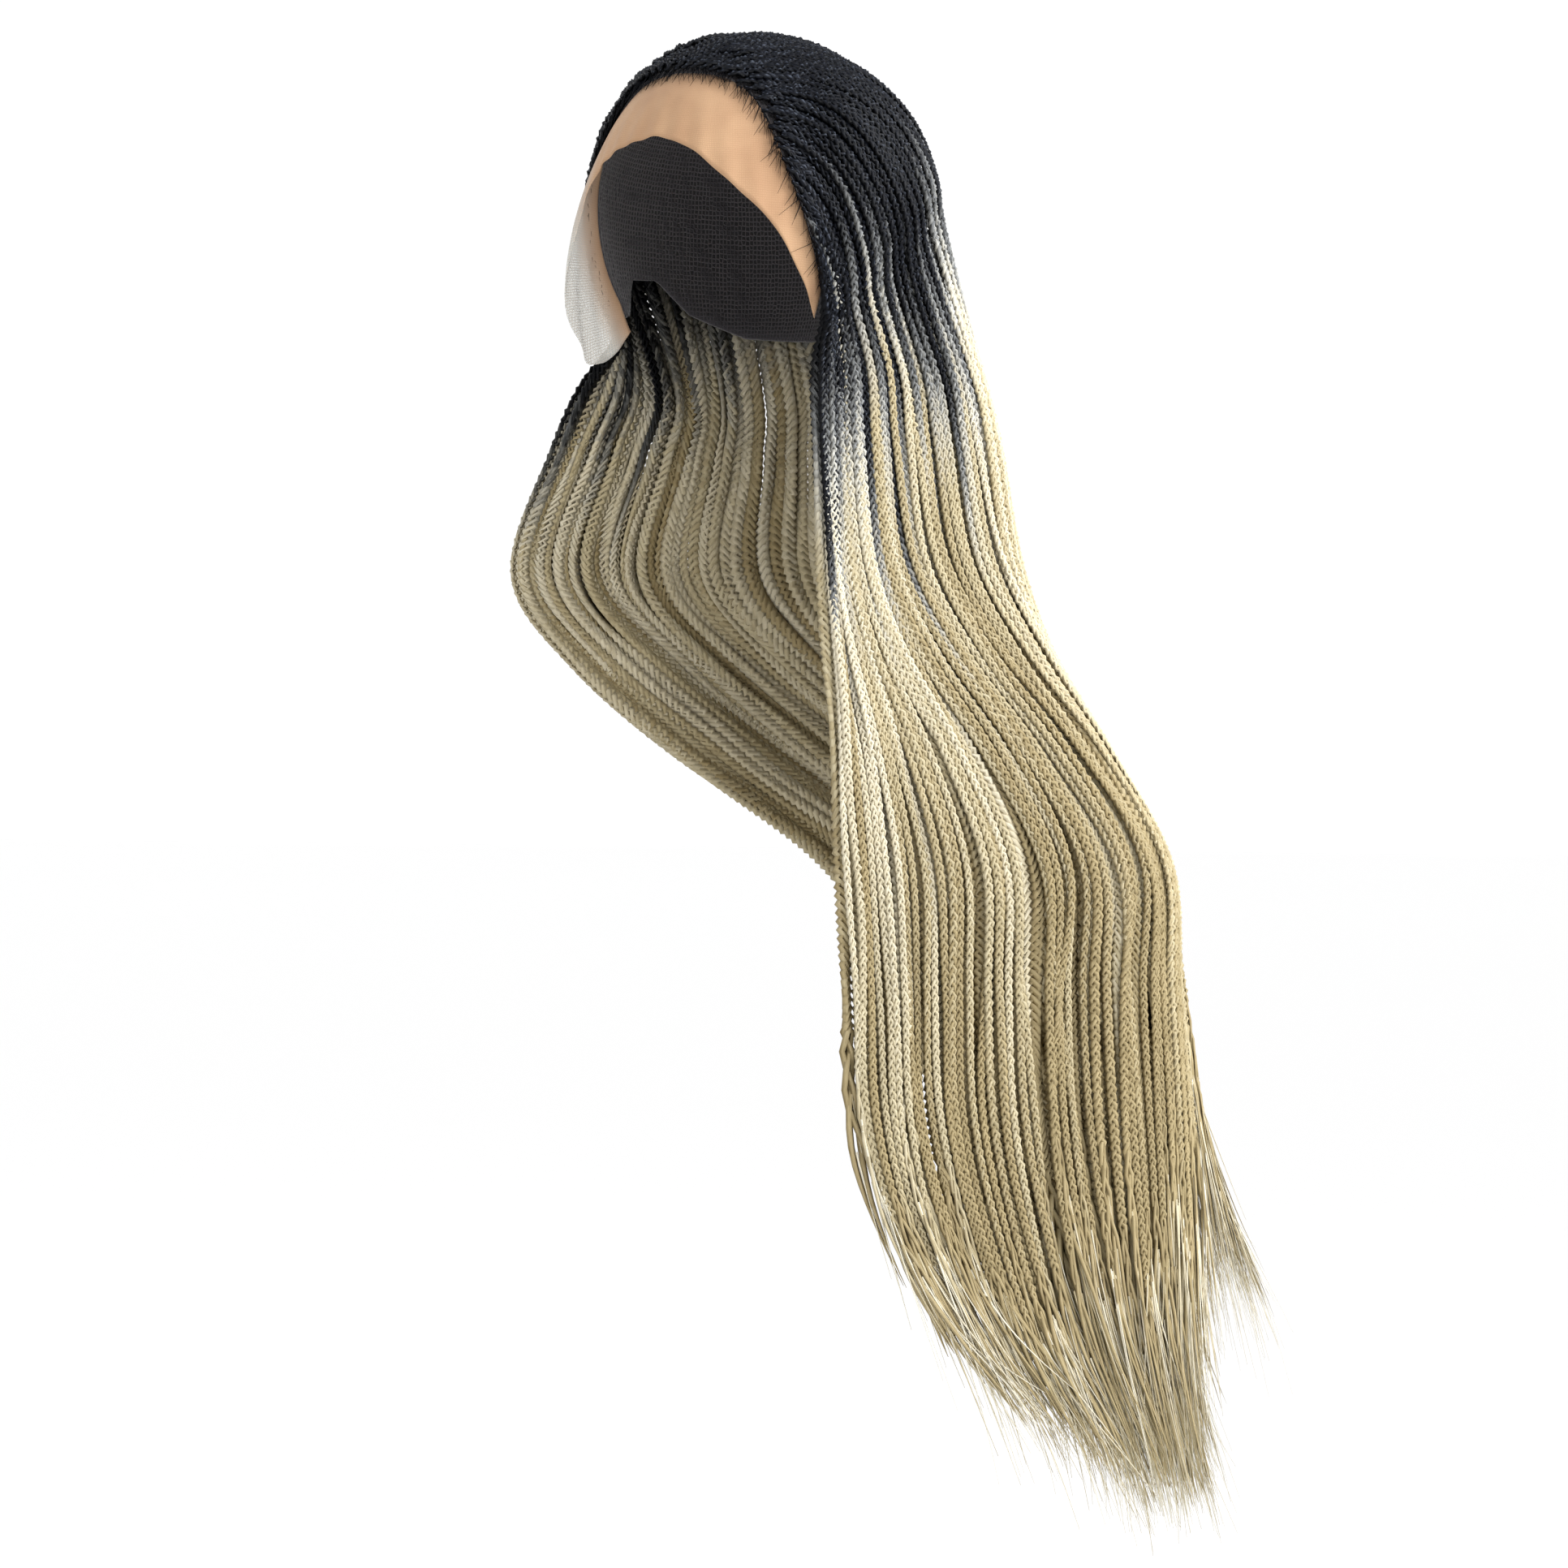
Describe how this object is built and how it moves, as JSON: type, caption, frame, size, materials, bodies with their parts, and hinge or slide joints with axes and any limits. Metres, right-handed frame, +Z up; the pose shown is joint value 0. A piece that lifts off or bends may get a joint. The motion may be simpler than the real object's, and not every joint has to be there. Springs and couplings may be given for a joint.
{
  "type": "braid wig",
  "caption": "Long braided lace-front wig in its worn form: an open cap with a lace hairline carries sections of thin braids that hang as one curtain swept to the wearer's left.",
  "frame": {"origin": "crown seat: the highest point inside the cap, which rests on top of a head", "axes": "+Z up along the head, -Y the way the face looks, +X the wearer's left"},
  "size_m": [0.4266, 0.2912, 0.8821],
  "materials": {
    "cap_net": "black stretch net",
    "lace": "sheer skin-toned net",
    "braid_hair": "fine plaited synthetic fibre, black at the root and ash blonde below"
  },
  "bodies": {
    "root": {"cap_crown": "cap_net", "cap_left": "cap_net", "cap_back": "cap_net", "cap_right": "cap_net", "front_lace": "lace", "right_braids_1": "braid_hair", "right_braids_2": "braid_hair", "right_braids_3": "braid_hair", "right_braids_4": "braid_hair", "back_braids_1": "braid_hair", "back_braids_2": "braid_hair", "back_braids_3": "braid_hair", "back_braids_4": "braid_hair", "left_braids_1": "braid_hair", "left_braids_2": "braid_hair", "left_braids_3": "braid_hair", "left_braids_4": "braid_hair"}
  },
  "joints": []
}
